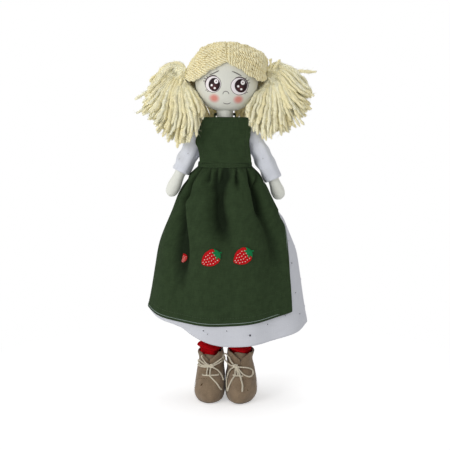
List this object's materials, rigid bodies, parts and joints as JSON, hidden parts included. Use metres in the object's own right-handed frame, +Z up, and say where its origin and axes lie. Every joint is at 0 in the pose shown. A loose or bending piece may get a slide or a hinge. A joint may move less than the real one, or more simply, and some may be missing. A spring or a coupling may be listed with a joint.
{
  "type": "doll",
  "caption": "Stuffed cloth doll with yarn pigtails, turning arms, legs that fold to sit, a gathered dress, a bib pinafore, socks and laced boots.",
  "frame": {"origin": "on the floor, midway under the doll's bounding box", "axes": "+Z up through the head, -Y the way the face looks, +X the doll's own left"},
  "size_m": [0.223, 0.1107, 0.45],
  "materials": {
    "skin_cloth": "plain woven cotton, printed face",
    "hair_yarn": "chunky twisted wool-blend yarn",
    "hair_binding": "the same yarn, wound and stitched tight",
    "dress_cotton": "white cotton with small eyelets",
    "pinafore_cotton": "dark green plain-woven cotton",
    "sock_knit": "red fine knit",
    "boot_felt": "taupe wool felt",
    "boot_sole": "pressed felt",
    "boot_lace": "waxed cotton cord"
  },
  "bodies": {
    "body": {"torso": "skin_cloth", "head": "skin_cloth", "hair_cap_left": "hair_yarn", "hair_cap_right": "hair_yarn", "parting_seam": "hair_binding", "hair_tie_left": "hair_binding", "hair_tie_right": "hair_binding", "dress_bodice": "dress_cotton", "underskirt": "dress_cotton", "pinafore_bib": "pinafore_cotton", "waistband": "pinafore_cotton", "apron_skirt": "pinafore_cotton", "neck_strap": "pinafore_cotton"},
    "arm_left": {"arm_left": "skin_cloth", "sleeve_left": "dress_cotton"},
    "arm_right": {"arm_right": "skin_cloth", "sleeve_right": "dress_cotton"},
    "leg_left": {"leg_left": "skin_cloth", "sock_left": "sock_knit", "boot_sole_left": "boot_sole", "boot_vamp_left": "boot_felt", "boot_quarter_left": "boot_felt", "boot_tongue_left": "boot_felt", "boot_lace_left": "boot_lace"},
    "leg_right": {"leg_right": "skin_cloth", "sock_right": "sock_knit", "boot_sole_right": "boot_sole", "boot_vamp_right": "boot_felt", "boot_quarter_right": "boot_felt", "boot_tongue_right": "boot_felt", "boot_lace_right": "boot_lace"},
    "pigtail_left": {"pigtail_left": "hair_yarn"},
    "pigtail_right": {"pigtail_right": "hair_yarn"}
  },
  "joints": [
    {"name": "shoulder_left", "type": "hinge", "parent": "body", "child": "arm_left", "pos_m": [0.0267, 0, 0.336], "axis": [-1, 0, 0], "range_deg": [-35, 85], "deforming": ["pigtail_left"]},
    {"name": "shoulder_right", "type": "hinge", "parent": "body", "child": "arm_right", "pos_m": [-0.0267, 0, 0.336], "axis": [-1, 0, 0], "range_deg": [-35, 85], "deforming": ["pigtail_right"]},
    {"name": "hip_left", "type": "hinge", "parent": "body", "child": "leg_left", "pos_m": [0.02, 0, 0.24], "axis": [-1, 0, 0], "range_deg": [0, 90], "deforming": ["underskirt", "apron_skirt"]},
    {"name": "hip_right", "type": "hinge", "parent": "body", "child": "leg_right", "pos_m": [-0.02, 0, 0.24], "axis": [-1, 0, 0], "range_deg": [0, 90], "deforming": ["underskirt", "apron_skirt"]},
    {"name": "pigtail_swing_left", "type": "hinge", "parent": "body", "child": "pigtail_left", "pos_m": [0.0552, 0, 0.409], "axis": [-1, 0, 0], "range_deg": [0, 45]},
    {"name": "pigtail_swing_right", "type": "hinge", "parent": "body", "child": "pigtail_right", "pos_m": [-0.0512, 0, 0.409], "axis": [-1, 0, 0], "range_deg": [0, 45]}
  ],
  "couplings": [
    {"joint": "hip_right", "follows": "hip_left", "ratio": 1}
  ]
}
